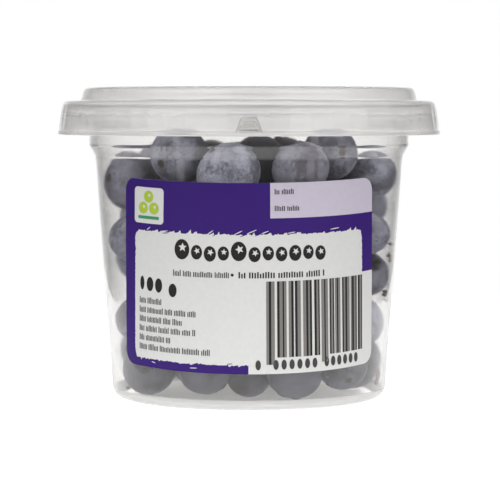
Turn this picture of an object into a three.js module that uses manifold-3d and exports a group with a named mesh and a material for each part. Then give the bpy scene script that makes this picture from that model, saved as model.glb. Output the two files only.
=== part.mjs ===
// A round clear tub of blueberries with a push-on lid and a wrap-round paper label.
// Millimetres, +Z up. The origin is the middle of the foot, on the surface that the tub stands on,
// and the label faces -Y.

import * as THREE from "three";
import { mergeVertices } from "three/addons/utils/BufferGeometryUtils.js";
import Module from "manifold-3d";

const wasm = await Module();
wasm.setup();

// Driving dimensions of the tub. Radii are of the outside.
const SIDES = 64; // facets round the tub and the lid
const WALL = 0.6; // thickness of the tub's plastic
const FOOT_RADIUS = 29.2; // where the foot ring ends and the bottom corner starts
const FOOT_RING = 2.1; // width of the foot ring
const BASE_RECESS = 0.4; // the base panel is this far above the foot
const CORNER_RADIUS = 3.2; // between the foot and the wall
const WALL_TOP = { r: 36.3, z: 56.8 }; // where the straight taper ends
const NECK = { r: 37.7, low: 59.3, high: 65.6 }; // upright band over the stacking shoulder
const RIM = { r: 42.7, top: 68.8, lip: 1.6, edge: 0.8 }; // flange that the lid grips

// Driving dimensions of the lid
const LID_SHEET = 0.5; // thickness of the lid's plastic
const LID_TOP = 72.9; // top of the raised ring, and of the whole pack
const PANEL_DROP = 1.5; // the middle panel lies this far below the raised ring
const PANEL_RADIUS = 32.6; // a second tub's foot nests inside this
const RING_SLOPE = 1; // how far the panel's edge leans outwards
const RAISED = { top: 38.8, low: 39.6 }; // the raised ring's outer wall
const LEDGE = { z: 69.8, r: 42.4 }; // flat ledge over the tub's rim
const LEDGE_CORNER = 1.3;
const SKIRT = { top: 43.8, low: 44.75, end: 61.9 }; // flared skirt
const SKIRT_LIP = { out: 0.3, height: 1 }; // rounded bead along the skirt's lower edge
const GRIP_BEAD = { r: 42.35, z: 66.4, half: 0.45 }; // bead inside the skirt, under the rim
const TAB = { top: 3.4, low: 5.4, from: 62.6, to: 66, proud: 0.45 }; // finger mark on the front

// Driving dimensions of the label, a flat rounded rectangle wrapped on the tapered wall
const LABEL = { width: 64.8, height: 43, middle: 30.05, corner: 3, paper: 0.2, gap: 0.08 };
const LABEL_SPREAD = 0.0012; // share by which each millimetre lower is wider, so its ends stand upright
const LABEL_COLUMNS = 30;
const LABEL_ROWS = 2;

// Driving dimensions of the heap of berries
const BERRY = { least: 11.2, spread: 3.8, flatness: 0.9, count: 90 };
const CLEARANCE = 0.35; // between a berry and the plastic
const FALL = 0.25; // how far a loose berry drops in one round of settling
const FALLING_ROUNDS = 440;
const EASING_ROUNDS = 120; // rounds without falling, which only push touching berries apart
const HELD = { falling: 0.001, easing: 0.02 }; // how freely a window berry gives way; a loose one is 1
const HEAP_TOP = 64.5; // the heap is level along the middle
const HEAP_DROP = 10; // and this much lower at both sides,
const HEAP_HALF = 36; // this far out
const HEAP_CORE = { inset: 6.4, low: 6, high: 54.5, crown: 5, sides: 20 };

// Berries that press against the clear wall round the label: the angle round from the front in
// degrees, the height of the middle, the diameter and how far the berry stands off the wall.
const WINDOW_BERRIES = [
  { angle: -80, z: 51, d: 13.4, off: 0 },
  { angle: -37, z: 57, d: 13.8, off: 3.6 },
  { angle: -11.5, z: 53.6, d: 15, off: 0 },
  { angle: 24, z: 54.5, d: 13.4, off: 0 },
  { angle: 50.5, z: 57.7, d: 12.8, off: 4.9 },
  { angle: 80, z: 52.5, d: 11.8, off: 0 },
  { angle: 6.5, z: 55.4, d: 13.2, off: 13.6 },
  { angle: -112, z: 43.6, d: 11.2, off: 0 },
  { angle: -71, z: 37.3, d: 11.2, off: 0 },
  { angle: -106, z: 31.4, d: 11.4, off: 0 },
  { angle: -73, z: 19.2, d: 10.6, off: 0 },
  { angle: -102, z: 10.8, d: 11.6, off: 0 },
  { angle: 104, z: 45, d: 10.4, off: 0 },
  { angle: 71, z: 38.9, d: 10.4, off: 0 },
  { angle: 84, z: 29, d: 11, off: 0 },
  { angle: 77, z: 17.1, d: 12.2, off: 0 },
  { angle: -64, z: 8.6, d: 12.8, off: 0 },
  { angle: -22.5, z: 9.5, d: 12.8, off: 0 },
  { angle: 0, z: 6.9, d: 10.9, off: 9.6 },
  { angle: 22.5, z: 8, d: 13.2, off: 0 },
  { angle: 56, z: 9, d: 12, off: 0 },
];

// Sizes worked out from the driving ones
const WALL_SLOPE = wallSlope();
const WALL_LOW = cornerPoint(CORNER_RADIUS, WALL_SLOPE);
const FLOOR = BASE_RECESS + WALL;
const ROOM_RISE = millionths(Math.tan(WALL_SLOPE));
const ROOM_AT_FOOT = millionths(outerRadiusAt(0) - WALL / Math.cos(WALL_SLOPE) - CLEARANCE);

// Angle of the straight wall from upright: it leaves the corner's arc on a tangent.
function wallSlope() {
  let slope = 0;
  for (let pass = 0; pass < 20; pass++) {
    const low = cornerPoint(CORNER_RADIUS, slope);
    slope = Math.atan2(WALL_TOP.r - low.x, WALL_TOP.z - low.y);
  }
  return slope;
}

// Point of the bottom corner's arc, of any radius, where it faces `below` radians under level
function cornerPoint(radius, below) {
  return new THREE.Vector2(
    FOOT_RADIUS + radius * Math.cos(below),
    CORNER_RADIUS - radius * Math.sin(below),
  );
}

function outerRadiusAt(z) {
  return WALL_LOW.x + (z - WALL_LOW.y) * Math.tan(WALL_SLOPE);
}

// Rounded, so that the berries settle alike on every machine
function millionths(value) {
  return Math.round(value * 1e6) / 1e6;
}

// Points of an arc round (x, y), from one angle to another in degrees
function arc(x, y, radius, from, to, steps) {
  const points = [];
  for (let i = 0; i <= steps; i++) {
    const a = THREE.MathUtils.degToRad(from + ((to - from) * i) / steps);
    points.push([x + radius * Math.cos(a), y + radius * Math.sin(a)]);
  }
  return points;
}

// Closed body from a profile of [radius, height] pairs that starts and ends on the axis
function turned(profile) {
  const points = profile.map(([r, z]) => new THREE.Vector2(r, z));
  return new THREE.LatheGeometry(points, SIDES).rotateX(Math.PI / 2);
}

function solidOf(geometry) {
  const bare = geometry.clone();
  bare.deleteAttribute("normal");
  bare.deleteAttribute("uv");
  const merged = mergeVertices(bare, 1e-4);
  return new wasm.Manifold(
    new wasm.Mesh({
      numProp: 3,
      vertProperties: merged.attributes.position.array,
      triVerts: new Uint32Array(merged.index.array),
    }),
  );
}

function geometryOf(solid) {
  const mesh = solid.getMesh();
  const geometry = new THREE.BufferGeometry();
  geometry.setAttribute("position", new THREE.BufferAttribute(mesh.vertProperties, 3));
  geometry.setIndex(new THREE.BufferAttribute(mesh.triVerts, 1));
  geometry.computeVertexNormals();
  return geometry;
}

// Tub: a thin shell from the recessed base, up the tapered wall and the neck, to the rim
function tubGeometry() {
  const slope = THREE.MathUtils.radToDeg(WALL_SLOPE);
  const inner = CORNER_RADIUS - WALL;
  const ring = FOOT_RADIUS - FOOT_RING;
  const outside = [
    [0, BASE_RECESS],
    [ring - BASE_RECESS, BASE_RECESS],
    [ring, 0],
    ...arc(FOOT_RADIUS, CORNER_RADIUS, CORNER_RADIUS, -90, -slope, 4),
    [WALL_TOP.r, WALL_TOP.z],
    [NECK.r, NECK.low],
    [NECK.r, NECK.high],
    [NECK.r + 1.9, RIM.top - 1.1],
    [RIM.r - RIM.edge, RIM.top - RIM.edge],
    [RIM.r - RIM.edge, RIM.top - RIM.lip],
    [RIM.r, RIM.top - RIM.lip],
    [RIM.r, RIM.top - 0.4],
    [RIM.r - 0.4, RIM.top],
  ];
  const inside = [
    [NECK.r + 1.6, RIM.top],
    [NECK.r - WALL, NECK.high + 1],
    [NECK.r - WALL, NECK.low],
    [WALL_TOP.r - WALL, WALL_TOP.z],
    ...arc(FOOT_RADIUS, CORNER_RADIUS, inner, -slope, -90, 3),
    [ring + 0.3, WALL],
    [ring + 0.3 - BASE_RECESS, FLOOR],
    [0, FLOOR],
  ];
  return turned([...outside, ...inside]);
}

// Lid: sunk panel, raised stacking ring, ledge over the rim and flared skirt with its grip bead
function lidGeometry() {
  const panel = LID_TOP - PANEL_DROP;
  const sheet = LID_SHEET;
  const underLedge = LEDGE.z - sheet;
  const skirtTop = LEDGE.z - LEDGE_CORNER;
  const lip = SKIRT.end + SKIRT_LIP.height;
  const profile = [
    [0, panel - sheet],
    [PANEL_RADIUS + 0.3, panel - sheet],
    [PANEL_RADIUS + 0.3 + RING_SLOPE, LID_TOP - sheet],
    [RAISED.top - 1, LID_TOP - sheet],
    [RAISED.top - sheet, LID_TOP - 1],
    [RAISED.low - sheet, underLedge],
    [LEDGE.r - 0.2, underLedge],
    [SKIRT.top - sheet, skirtTop],
    [SKIRT.top - sheet, GRIP_BEAD.z + GRIP_BEAD.half],
    [GRIP_BEAD.r, GRIP_BEAD.z],
    [SKIRT.top - sheet + 0.2, GRIP_BEAD.z - GRIP_BEAD.half],
    [SKIRT.low - sheet, lip],
    [SKIRT.low - sheet, SKIRT.end],
    [SKIRT.low + SKIRT_LIP.out - 0.25, SKIRT.end],
    [SKIRT.low + SKIRT_LIP.out, SKIRT.end + 0.3],
    [SKIRT.low + SKIRT_LIP.out, lip - 0.3],
    [SKIRT.low, lip],
    ...arc(LEDGE.r, skirtTop, LEDGE_CORNER + 0.1, 0, 90, 3),
    [RAISED.low, LEDGE.z],
    [RAISED.top, LID_TOP - 0.9],
    [RAISED.top - 0.3, LID_TOP - 0.2],
    [RAISED.top - 1, LID_TOP],
    [PANEL_RADIUS + RING_SLOPE, LID_TOP],
    [PANEL_RADIUS, panel],
    [0, panel],
  ];
  return geometryOf(solidOf(turned(profile)).add(solidOf(tabGeometry())));
}

// Trapezoid finger mark that stands proud of the skirt's front
function tabGeometry() {
  const outline = new THREE.Shape();
  outline.moveTo(-TAB.low / 2, TAB.from);
  outline.lineTo(TAB.low / 2, TAB.from);
  outline.lineTo(TAB.top / 2, TAB.to);
  outline.lineTo(-TAB.top / 2, TAB.to);
  const sunk = 0.3;
  const block = new THREE.ExtrudeGeometry(outline, { depth: TAB.proud + sunk, bevelEnabled: false });
  block.rotateX(Math.PI / 2);
  const lean = (SKIRT.low - SKIRT.top) / (LEDGE.z - SKIRT.end);
  const place = block.attributes.position;
  for (let i = 0; i < place.count; i++) {
    const skirt = SKIRT.low - lean * (place.getZ(i) - SKIRT.end);
    place.setY(i, place.getY(i) - skirt + sunk);
  }
  return block;
}

// Label: a thin box whose columns are trimmed to round corners, then rolled onto the tapered wall
function labelGeometry() {
  const { width, height, corner, paper, gap, middle } = LABEL;
  const box = new THREE.BoxGeometry(2, 2, 1, LABEL_COLUMNS, LABEL_ROWS, 1);
  const straight = width / 2 - corner;
  const sine = Math.sin(WALL_SLOPE);
  const middleRun = outerRadiusAt(middle) / sine; // from the cone's tip, along the wall
  const place = box.attributes.position;
  for (let i = 0; i < place.count; i++) {
    const t = place.getX(i);
    const level = (width / 2) * (1.5 * t - 0.5 * t * t * t); // columns crowd towards the ends
    const past = Math.max(0, Math.abs(level) - straight);
    const tall = height / 2 - corner + Math.sqrt(Math.max(0, corner * corner - past * past));
    const up = place.getY(i) * tall;
    const across = level * (1 - LABEL_SPREAD * up);
    const lift = gap + (place.getZ(i) + 0.5) * paper;
    const run = Math.hypot(across, middleRun + up);
    const turn = Math.atan2(across, middleRun + up) / sine;
    const r = run * sine + lift;
    const z = middle + (run - middleRun) * Math.cos(WALL_SLOPE);
    place.setXYZ(i, r * Math.sin(turn), -r * Math.cos(turn), z);
  }
  return box;
}

// Whole-number draws from 0 up to 1, the same on every run
function seeded(seed) {
  let state = seed;
  return () => {
    state = (state * 16807) % 2147483647;
    return state / 2147483647;
  };
}

// A direction drawn evenly over the sphere
function drawnDirection(draw) {
  for (;;) {
    const x = 2 * draw() - 1;
    const y = 2 * draw() - 1;
    const z = 2 * draw() - 1;
    const length = Math.sqrt(x * x + y * y + z * z);
    if (length > 0.1 && length < 1) return [x / length, y / length, z / length];
  }
}

// Inner radius of the tub at a height, less the gap kept to the fruit
function roomAt(z) {
  return ROOM_AT_FOOT + ROOM_RISE * z;
}

function windowBerry({ angle, z, d, off }) {
  const r = d / 2;
  const out = roomAt(z) - r - off;
  const turn = (angle * Math.PI) / 180;
  const x = millionths(out * Math.sin(turn));
  const y = millionths(-out * Math.cos(turn));
  return { x, y, z, r, free: HELD.falling };
}

// A loose berry starts somewhere over the floor, each one higher than the last.
function looseBerry(draw, start) {
  const r = (BERRY.least + (BERRY.spread * (draw() + draw())) / 2) / 2;
  let x = 1;
  let y = 1;
  while (x * x + y * y > 1) {
    x = 2 * draw() - 1;
    y = 2 * draw() - 1;
  }
  const out = roomAt(FLOOR) - r;
  return { x: x * out, y: y * out, z: start, r, free: 1 };
}

// Push two berries apart when they overlap, the window berries far less than the loose ones.
function partPair(a, b) {
  const x = b.x - a.x;
  const y = b.y - a.y;
  const z = b.z - a.z;
  const reach = a.r + b.r;
  const square = x * x + y * y + z * z;
  if (square >= reach * reach) return;
  const apart = Math.sqrt(square);
  const push = (reach - apart) / apart / (a.free + b.free);
  a.x -= x * push * a.free;
  a.y -= y * push * a.free;
  a.z -= z * push * a.free;
  b.x += x * push * b.free;
  b.y += y * push * b.free;
  b.z += z * push * b.free;
}

function keepInside(berry) {
  const out = Math.sqrt(berry.x * berry.x + berry.y * berry.y);
  const most = roomAt(berry.z) - berry.r;
  if (out > most) {
    berry.x *= most / out;
    berry.y *= most / out;
  }
  const drop = berry.free === 1 ? HEAP_DROP : 0;
  const top = HEAP_TOP - (drop * berry.x * berry.x) / (HEAP_HALF * HEAP_HALF);
  berry.z = Math.max(FLOOR + CLEARANCE + berry.r, Math.min(top - berry.r, berry.z));
}

// All berries, settled in the tub under their own weight
function settledBerries() {
  const draw = seeded(2039);
  const berries = WINDOW_BERRIES.map(windowBerry);
  const loose = BERRY.count - berries.length;
  for (let i = 0; i < loose; i++) berries.push(looseBerry(draw, FLOOR + 8 + (95 * i) / loose));
  for (let round = 0; round < FALLING_ROUNDS + EASING_ROUNDS; round++) {
    for (const berry of berries) {
      if (round < FALLING_ROUNDS && berry.free === 1) berry.z -= FALL;
      if (round === FALLING_ROUNDS && berry.free < 1) berry.free = HELD.easing;
    }
    for (let i = 0; i < berries.length; i++) {
      for (let j = i + 1; j < berries.length; j++) partPair(berries[i], berries[j]);
    }
    berries.forEach(keepInside);
  }
  for (const berry of berries) berry.axis = drawnDirection(draw);
  return berries;
}

// The plain inside of the heap, which the berries that show are fused to
function heapCore() {
  const { inset, low, high, crown, sides } = HEAP_CORE;
  const points = [
    [0, low],
    [roomAt(low) - inset, low],
    [roomAt(high - crown) - inset, high - crown],
    [roomAt(high) - inset - crown, high],
    [0, high],
  ].map(([r, z]) => new THREE.Vector2(r, z));
  return solidOf(new THREE.LatheGeometry(points, sides).rotateX(Math.PI / 2));
}

// A berry with few sides, flattened along the axis from its stem to its crown
function berrySolid({ x, y, z, r, axis }) {
  const ball = new THREE.IcosahedronGeometry(1, 1);
  ball.scale(r, r, r * BERRY.flatness);
  const turn = new THREE.Quaternion().setFromUnitVectors(
    new THREE.Vector3(0, 0, 1),
    new THREE.Vector3(...axis),
  );
  ball.applyQuaternion(turn);
  ball.translate(x, y, z);
  return solidOf(ball);
}

// Heap: the core with every berry fused on, kept as its one outer skin
function berriesGeometry() {
  let heap = heapCore();
  for (const berry of settledBerries()) heap = heap.add(berrySolid(berry));
  const parts = heap.decompose().sort((a, b) => b.volume() - a.volume());
  return geometryOf(parts[0]);
}

const FINISH = {
  tub: { color: 0xdcdad5, roughness: 0.22, metalness: 0, transparent: true, opacity: 0.3 },
  lid: { color: 0xdcdad5, roughness: 0.28, metalness: 0, transparent: true, opacity: 0.35 },
  label: { color: 0x3c296f, roughness: 0.5, metalness: 0 },
  berries: { color: 0x4b4c5c, roughness: 0.65, metalness: 0 },
};

function piece(name, geometry) {
  const mesh = new THREE.Mesh(geometry, new THREE.MeshStandardMaterial(FINISH[name]));
  mesh.name = name;
  return mesh;
}

const punnet = new THREE.Group();
punnet.add(piece("tub", tubGeometry()));
punnet.add(piece("lid", lidGeometry()));
punnet.add(piece("label", labelGeometry()));
punnet.add(piece("berries", berriesGeometry()));

export default punnet;
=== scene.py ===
"""A clear tub of blueberries with a push-on lid and a wrapped paper label.

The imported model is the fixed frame: metres, +Z up, the middle of the foot at the origin and the
label towards -Y. Each operator makes one piece, or one group of like pieces, in that frame.
"""

import math

import bmesh
import bpy
from bpy.props import FloatProperty, FloatVectorProperty, IntProperty, PointerProperty
from mathutils import Matrix, Quaternion, Vector, noise


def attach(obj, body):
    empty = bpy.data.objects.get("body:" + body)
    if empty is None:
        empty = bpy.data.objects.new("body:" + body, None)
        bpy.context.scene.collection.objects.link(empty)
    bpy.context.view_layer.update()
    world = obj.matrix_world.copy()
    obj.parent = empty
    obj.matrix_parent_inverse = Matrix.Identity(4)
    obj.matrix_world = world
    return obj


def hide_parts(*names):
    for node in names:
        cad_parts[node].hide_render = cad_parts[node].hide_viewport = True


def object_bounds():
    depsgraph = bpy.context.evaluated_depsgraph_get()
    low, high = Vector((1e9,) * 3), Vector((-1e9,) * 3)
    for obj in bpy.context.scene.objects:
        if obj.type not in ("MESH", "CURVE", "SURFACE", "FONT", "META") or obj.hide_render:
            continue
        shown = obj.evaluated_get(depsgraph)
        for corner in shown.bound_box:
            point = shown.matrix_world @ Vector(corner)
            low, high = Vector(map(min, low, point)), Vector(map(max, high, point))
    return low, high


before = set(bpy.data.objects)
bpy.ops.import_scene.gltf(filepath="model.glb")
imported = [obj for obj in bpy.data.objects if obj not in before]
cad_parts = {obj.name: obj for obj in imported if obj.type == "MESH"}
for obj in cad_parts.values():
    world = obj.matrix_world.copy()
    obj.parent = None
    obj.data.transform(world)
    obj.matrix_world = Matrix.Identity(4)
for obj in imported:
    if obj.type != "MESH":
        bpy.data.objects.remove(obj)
CAD_LOW, CAD_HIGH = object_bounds()

bl_info = {
    "name": "Berry Punnet",
    "version": (1, 0, 0),
    "blender": (4, 5, 0),
    "location": "View3D > Sidebar > Punnet",
    "description": "Models a clear punnet of blueberries and its plain studio",
    "category": "Object",
}

MM = 0.001
BODY = "root"


def length(name, description, millimetres):
    """A length property whose default is written in millimetres."""
    return FloatProperty(
        name=name,
        description=description,
        default=millimetres * MM,
        min=0,
        precision=5,
        subtype="DISTANCE",
        unit="LENGTH",
    )


def share(name, description, default):
    """A property from 0 to 1."""
    return FloatProperty(name=name, description=description, default=default, min=0, max=1)


def colour(name, description, default):
    """A colour property in linear light."""
    return FloatVectorProperty(
        name=name,
        description=description,
        default=default,
        min=0,
        max=1,
        size=3,
        subtype="COLOR",
    )


class TubSettings(bpy.types.PropertyGroup):
    """The clear tub. Radii are of its outside."""

    wall: length("Wall", "Thickness of the plastic", 0.6)
    foot_radius: length("Foot radius", "Where the foot ring meets the bottom corner", 29.2)
    foot_ring: length("Foot ring", "Width of the ring that the tub stands on", 2.1)
    base_recess: length("Base recess", "Height of the base panel over the foot", 0.4)
    corner: length("Corner", "Rounding between the foot and the wall", 3.2)
    wall_top_radius: length("Wall top radius", "Radius where the straight taper ends", 36.3)
    wall_top: length("Wall top", "Height where the straight taper ends", 56.8)
    neck_radius: length("Neck radius", "Radius of the upright band under the rim", 37.7)
    neck_low: length("Neck low", "Height of the stacking shoulder", 59.3)
    neck_high: length("Neck high", "Height where the neck flares into the rim", 65.6)
    rim_radius: length("Rim radius", "Radius of the flange that holds the lid", 42.7)
    rim_top: length("Rim top", "Height of the rim", 68.8)
    rim_lip: length("Rim lip", "Height of the rim's turned-down edge", 1.6)
    tint: colour("Tint", "Colour of light that passes through the wall", (0.93, 0.925, 0.915))
    haze: share("Haze", "Roughness of the moulded plastic", 0.07)
    ripple: share("Ripple", "Strength of the soft waves in the plastic", 0.2)
    milk: share("Milk", "How much light the wall scatters instead of passing on", 0.008)
    foot_tint: colour("Foot tint", "The tint in the thick bottom corner", (0.74, 0.735, 0.725))
    foot_milk: share("Foot milk", "The milk in the thick bottom corner", 0.58)
    frosted: length("Frosted", "Height of the frosted bottom corner", 4.6)
    base_haze: share("Base haze", "Roughness of the frosted base panel", 0.55)
    base_milk: share("Base milk", "The milk in the base panel", 0.2)


class LidSettings(bpy.types.PropertyGroup):
    """The push-on lid"""

    sheet: length("Sheet", "Thickness of the plastic", 0.5)
    top: length("Top", "Height of the stacking ring", CAD_HIGH.z / MM)
    panel_drop: length("Panel drop", "Depth of the middle panel under the ring", 1.5)
    panel_radius: length("Panel radius", "Radius of the sunk middle panel", 32.6)
    raised_top: length("Raised top", "Radius of the stacking ring at its top", 38.8)
    raised_low: length("Raised low", "Radius of the stacking ring at its foot", 39.6)
    ledge: length("Ledge", "Height of the flat ledge over the tub's rim", 69.8)
    ledge_corner: length("Ledge corner", "Rounding between the ledge and the skirt", 1.4)
    skirt_top: length("Skirt top", "Radius of the skirt at its top", 43.8)
    skirt_low: length("Skirt low", "Radius of the skirt at its lower edge", 44.75)
    skirt_end: length("Skirt end", "Height of the skirt's lower edge", 61.9)
    lip: length("Lip", "How far the bead on the lower edge stands out", 0.3)
    flutes: IntProperty(name="Flutes", description="Grip ribs round the skirt", default=60, min=0)
    flute_depth: length("Flute depth", "Height of a grip rib", 0.11)
    tab_top: length("Tab top", "Upper width of the finger mark", 3.4)
    tab_low: length("Tab low", "Lower width of the finger mark", 6)
    tab_from: length("Tab from", "Height of the finger mark over the skirt's edge", 0.7)
    tab_height: length("Tab height", "Height of the finger mark", 3.4)
    tab_proud: length("Tab proud", "How far the finger mark stands out", 0.8)
    tint: colour("Tint", "Colour of light that passes through the lid", (0.94, 0.935, 0.925))
    haze: share("Haze", "Roughness of the moulded plastic", 0.13)
    ripple: share("Ripple", "Strength of the soft waves in the plastic", 0.07)
    milk: share("Milk", "How much light the lid scatters instead of passing on", 0.29)


class LabelSettings(bpy.types.PropertyGroup):
    """The paper label. Its print is laid out flat, then wrapped on the tapered wall."""

    width: length("Width", "Width of the flat label at its middle", 64.8)
    height: length("Height", "Height of the flat label", 43)
    middle: length("Middle", "Height of the label's middle on the tub", 30.05)
    corner: length("Corner", "Rounding of the label's corners", 3)
    paper: length("Paper", "Thickness of the paper", 0.2)
    gap: length("Gap", "Glue between the paper and the tub", 0.08)
    purple: colour("Purple", "Printed field", (0.040, 0.013, 0.166))
    white: colour("White", "Bare paper", (0.69, 0.69, 0.675))
    lilac: colour("Lilac", "Printed box", (0.585, 0.535, 0.635))
    lime: colour("Lime", "Round marks on the corner tile", (0.42, 0.56, 0.05))
    green: colour("Green", "Bar on the corner tile", (0.05, 0.30, 0.14))
    black: colour("Black", "Bold marks and stripes", (0.022, 0.020, 0.020))
    soft: colour("Soft black", "Fine marks", (0.06, 0.058, 0.06))
    grey: colour("Grey", "Worn stripes", (0.21, 0.20, 0.19))


class BerrySettings(bpy.types.PropertyGroup):
    """The heap of blueberries"""

    least: length("Least", "Diameter of the smallest loose berry", 11.2)
    spread: length("Spread", "How much wider the largest is", 3.8)
    clearance: length("Clearance", "Gap between a berry and the plastic", 0.35)
    flatness: share("Flatness", "Height of a berry against its width", 0.9)
    count: IntProperty(name="Count", description="Berries in the tub", default=90, min=21)
    seed: IntProperty(name="Seed", description="Start of the random draws", default=2039, min=1)
    skin: colour("Skin", "Bare skin", (0.024, 0.023, 0.042))
    red_skin: colour("Red skin", "Skin of the least ripe berries", (0.040, 0.022, 0.034))
    bloom: colour("Bloom", "Waxy bloom over the skin", (0.475, 0.48, 0.59))
    crown: colour("Crown", "Dry crown and its pit", (0.040, 0.030, 0.036))
    scar: colour("Scar", "Spot where the stem was", (0.075, 0.055, 0.05))


class StageSettings(bpy.types.PropertyGroup):
    """The plain studio and its camera"""

    table: colour("Table", "Pale lit table", (0.5, 0.5, 0.5))
    table_front: length("Table front", "Where the table ends before the tub", 160)
    table_width: length("Table width", "Of the small lit table", 250)
    table_depth: length("Table depth", "Of the small lit table", 460)
    glow: FloatProperty(name="Glow", description="Light of the lit table", default=0.85)
    seen_glow: FloatProperty(name="Seen glow", description="Lifts the table to white", default=1.0)
    backdrop: FloatProperty(name="Backdrop", description="Seen behind the tub", default=1.0)
    back: FloatProperty(name="Back", description="Soft light from behind", default=1.12)
    front: FloatProperty(name="Front", description="Soft light from before the tub", default=0.06)
    zenith: FloatProperty(name="Zenith", description="Soft light from above", default=0.42)
    camera_distance: length("Camera distance", "From the tub's axis to the lens", 552.7)
    camera_height: length("Camera height", "Of the lens over the floor", 67.7)
    camera_side: length("Camera side", "Of the lens to the right of the axis", 0.24)
    lens: FloatProperty(name="Lens", description="Focal length in millimetres", default=168.07)
    pitch: FloatProperty(
        name="Pitch",
        description="How far the camera looks down",
        default=math.radians(3.438),
        subtype="ANGLE",
        unit="ROTATION",
    )


# Modelling helpers


def deselect_all():
    """Nothing selected and nothing active, so that an operator acts on new work alone."""
    if bpy.context.mode != "OBJECT":
        bpy.ops.object.mode_set(mode="OBJECT")
    bpy.ops.object.select_all(action="DESELECT")
    bpy.context.view_layer.objects.active = None


def select_only(*pieces):
    """These objects selected, the first of them active."""
    deselect_all()
    for piece in pieces:
        piece.select_set(True)
    bpy.context.view_layer.objects.active = pieces[0]


def named(piece, name):
    """The object and its mesh under one plain name."""
    piece.name = name
    piece.data.name = name
    return piece


def joined(pieces, name):
    """Several objects as one."""
    select_only(*pieces)
    bpy.ops.object.join()
    return named(bpy.context.active_object, name)


def placed(piece, node=None):
    """A finished piece rides on the tub's body and stands for its CAD node."""
    select_only(piece)
    bpy.ops.object.transform_apply(location=True, rotation=True, scale=True)
    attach(piece, BODY)
    if node:
        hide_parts(node)
    deselect_all()
    return piece


def apply_modifier(piece, kind, **settings):
    """One modifier, set and applied."""
    modifier = piece.modifiers.new(kind.title(), kind)
    for name, value in settings.items():
        setattr(modifier, name, value)
    select_only(piece)
    bpy.ops.object.modifier_apply(modifier=modifier.name)


def smoothstep(low, high, value):
    """0 below low, 1 above high, and smooth between them."""
    t = max(0.0, min(1.0, (value - low) / (high - low)))
    return t * t * (3 - 2 * t)


def seeded(seed):
    """A source of draws from 0 up to 1, the same on every run."""
    state = seed

    def draw():
        nonlocal state
        state = (state * 16807) % 2147483647
        return state / 2147483647

    return draw


ARC_STEP = math.radians(15)


def filleted(corners, longest=math.inf):
    """Outline from (radius, height, rounding) corners, with round corners and long runs divided."""
    points = [Vector(corners[0][:2])]
    for before, (r, z, rounding), after in zip(corners, corners[1:], corners[2:]):
        here = Vector((r, z))
        back = Vector(before[:2]) - here
        ahead = Vector(after[:2]) - here
        between = back.angle(ahead)
        if rounding == 0 or math.pi - between < 1e-4:
            points.append(here)
            continue
        most = 0.48 * min(back.length, ahead.length)
        reach = min(rounding / math.tan(between / 2), most)
        radius = reach * math.tan(between / 2)
        start = back.normalized() * reach
        middle = (back.normalized() + ahead.normalized()).normalized() * math.hypot(radius, reach)
        spoke = start - middle
        turn = math.pi - between
        if back.x * ahead.y - back.y * ahead.x > 0:
            turn = -turn
        steps = max(2, math.ceil(abs(turn) / ARC_STEP))
        for i in range(steps + 1):
            a = turn * i / steps
            across = spoke.x * math.cos(a) - spoke.y * math.sin(a)
            along = spoke.x * math.sin(a) + spoke.y * math.cos(a)
            points.append(here + middle + Vector((across, along)))
    points.append(Vector(corners[-1][:2]))
    outline = [points[0]]
    for point in points[1:]:
        run = point - outline[-1]
        parts = max(1, math.ceil(run.length / longest)) if math.isfinite(longest) else 1
        start = outline[-1]
        outline.extend(start + run * (i / parts) for i in range(1, parts + 1))
    return outline


def turned_shell(name, outline, steps):
    """A closed body turned round Z from an outline that starts and ends on the axis."""
    deselect_all()
    bpy.ops.mesh.primitive_circle_add(vertices=len(outline), radius=1, fill_type="NOTHING")
    shell = named(bpy.context.active_object, name)
    for vertex, point in zip(shell.data.vertices, outline):
        vertex.co = (point.x, 0, point.y)
    bpy.ops.object.mode_set(mode="EDIT")
    bpy.ops.mesh.select_all(action="DESELECT")
    work = bmesh.from_edit_mesh(shell.data)
    for edge in work.edges:
        if all(vertex.co.x < 1e-9 for vertex in edge.verts):
            edge.select = True
    bmesh.update_edit_mesh(shell.data)
    bpy.ops.mesh.delete(type="EDGE_FACE")
    bpy.ops.mesh.select_all(action="SELECT")
    bpy.ops.mesh.spin(steps=steps, angle=2 * math.pi, center=(0, 0, 0), axis=(0, 0, 1))
    bpy.ops.mesh.select_all(action="SELECT")
    bpy.ops.mesh.remove_doubles(threshold=1e-6)
    bpy.ops.mesh.select_all(action="SELECT")
    bpy.ops.mesh.normals_make_consistent(inside=False)
    bpy.ops.object.mode_set(mode="OBJECT")
    return shell


def smooth_below(piece, degrees):
    """Smooth shading, with edges sharper than this kept crisp."""
    select_only(piece)
    bpy.ops.object.shade_smooth_by_angle(angle=math.radians(degrees))


# Shader helpers


def add_node(tree, kind, values=None, **settings):
    """A node with its settings made and its inputs filled or linked."""
    made = tree.nodes.new(kind)
    for name, value in settings.items():
        setattr(made, name, value)
    for key, value in (values or {}).items():
        if isinstance(value, bpy.types.NodeSocket):
            tree.links.new(value, made.inputs[key])
        else:
            made.inputs[key].default_value = value
    return made


def new_material(name):
    """An empty node material."""
    material = bpy.data.materials.new(name)
    material.use_nodes = True
    material.node_tree.nodes.clear()
    return material


def object_place(tree):
    """The object coordinates of a material."""
    return add_node(tree, "ShaderNodeTexCoord").outputs["Object"]


def between(tree, mask, low, high):
    """A number that goes from low to high with a mask."""
    ends = {"Value": mask, "To Min": low, "To Max": high}
    return add_node(tree, "ShaderNodeMapRange", ends).outputs["Result"]


def multiplied(tree, first, second):
    """The product of two numbers."""
    product = add_node(tree, "ShaderNodeMath", {0: first, 1: second}, operation="MULTIPLY")
    return product.outputs[0]


def scaled(tint, factor):
    """A colour made darker or lighter."""
    return tuple(min(1.0, c * factor) for c in tint)


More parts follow.
